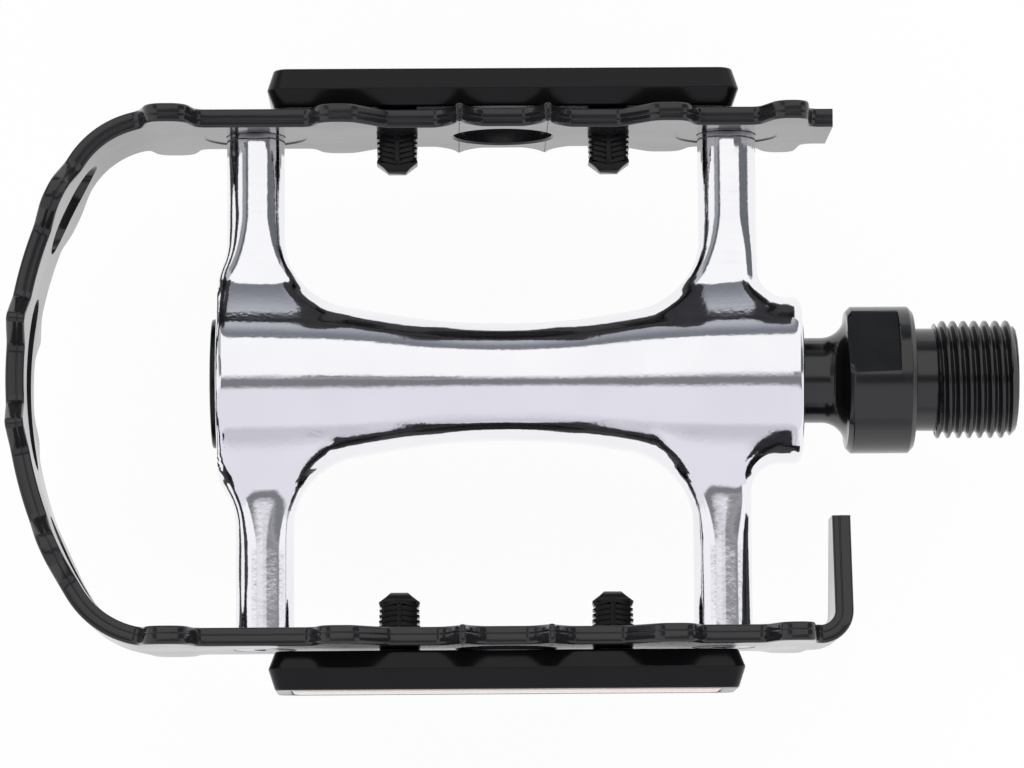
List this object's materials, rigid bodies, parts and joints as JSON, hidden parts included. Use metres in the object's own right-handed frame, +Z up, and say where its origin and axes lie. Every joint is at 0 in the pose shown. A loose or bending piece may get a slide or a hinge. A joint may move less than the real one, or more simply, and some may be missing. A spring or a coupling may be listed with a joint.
{
  "type": "bicycle pedal",
  "caption": "Bicycle pedal: polished barrel with four arms turning on a steel spindle, ringed by a toothed black strip cage that carries clip-in reflectors.",
  "frame": {"origin": "on the spindle's axis, half way along its crank thread", "axes": "+X along the spindle out of the pedal towards the crank, +Y towards the rear of the bicycle, +Z up from the tread"},
  "size_m": [0.1202, 0.074, 0.0262],
  "materials": {
    "polished_aluminium": "polished forging, smooth and bright",
    "black_painted_steel": "glossy black paint on pressed strip",
    "zinc_plated_steel": "bright zinc plating",
    "black_plastic": "moulded, satin",
    "amber_plastic": "clear amber moulding",
    "black_steel": "glossy black coating on turned steel",
    "bearing_steel": "ground and hardened",
    "black_rubber": "moulded"
  },
  "bodies": {
    "spindle": {"spindle": "black_steel", "adjusting_cone": "bearing_steel", "lock_washer": "zinc_plated_steel", "lock_nut": "zinc_plated_steel"},
    "platform": {"pedal_body": "polished_aluminium", "cage": "black_painted_steel", "cage_screws": "zinc_plated_steel", "rear_reflector_housing": "black_plastic", "rear_reflector_lens": "amber_plastic", "front_reflector_housing": "black_plastic", "front_reflector_lens": "amber_plastic", "dust_cap": "black_plastic", "inboard_bearing_cup": "bearing_steel", "outboard_bearing_cup": "bearing_steel", "inboard_seal": "black_rubber"},
    "inboard_ball_row": {"inboard_balls": "bearing_steel"},
    "outboard_ball_row": {"outboard_balls": "bearing_steel"}
  },
  "joints": [
    {"name": "pedal_spin", "type": "hinge", "parent": "spindle", "child": "platform", "pos_m": [-0.02, 0, 0], "axis": [1, 0, 0], "continuous": true},
    {"name": "inboard_balls_roll", "type": "hinge", "parent": "spindle", "child": "inboard_ball_row", "pos_m": [-0.02515, 0, 0], "axis": [1, 0, 0], "continuous": true},
    {"name": "outboard_balls_roll", "type": "hinge", "parent": "spindle", "child": "outboard_ball_row", "pos_m": [-0.07895, 0, 0], "axis": [1, 0, 0], "continuous": true}
  ],
  "couplings": [
    {"joint": "inboard_balls_roll", "follows": "pedal_spin", "ratio": 0.6},
    {"joint": "outboard_balls_roll", "follows": "pedal_spin", "ratio": 0.6}
  ]
}
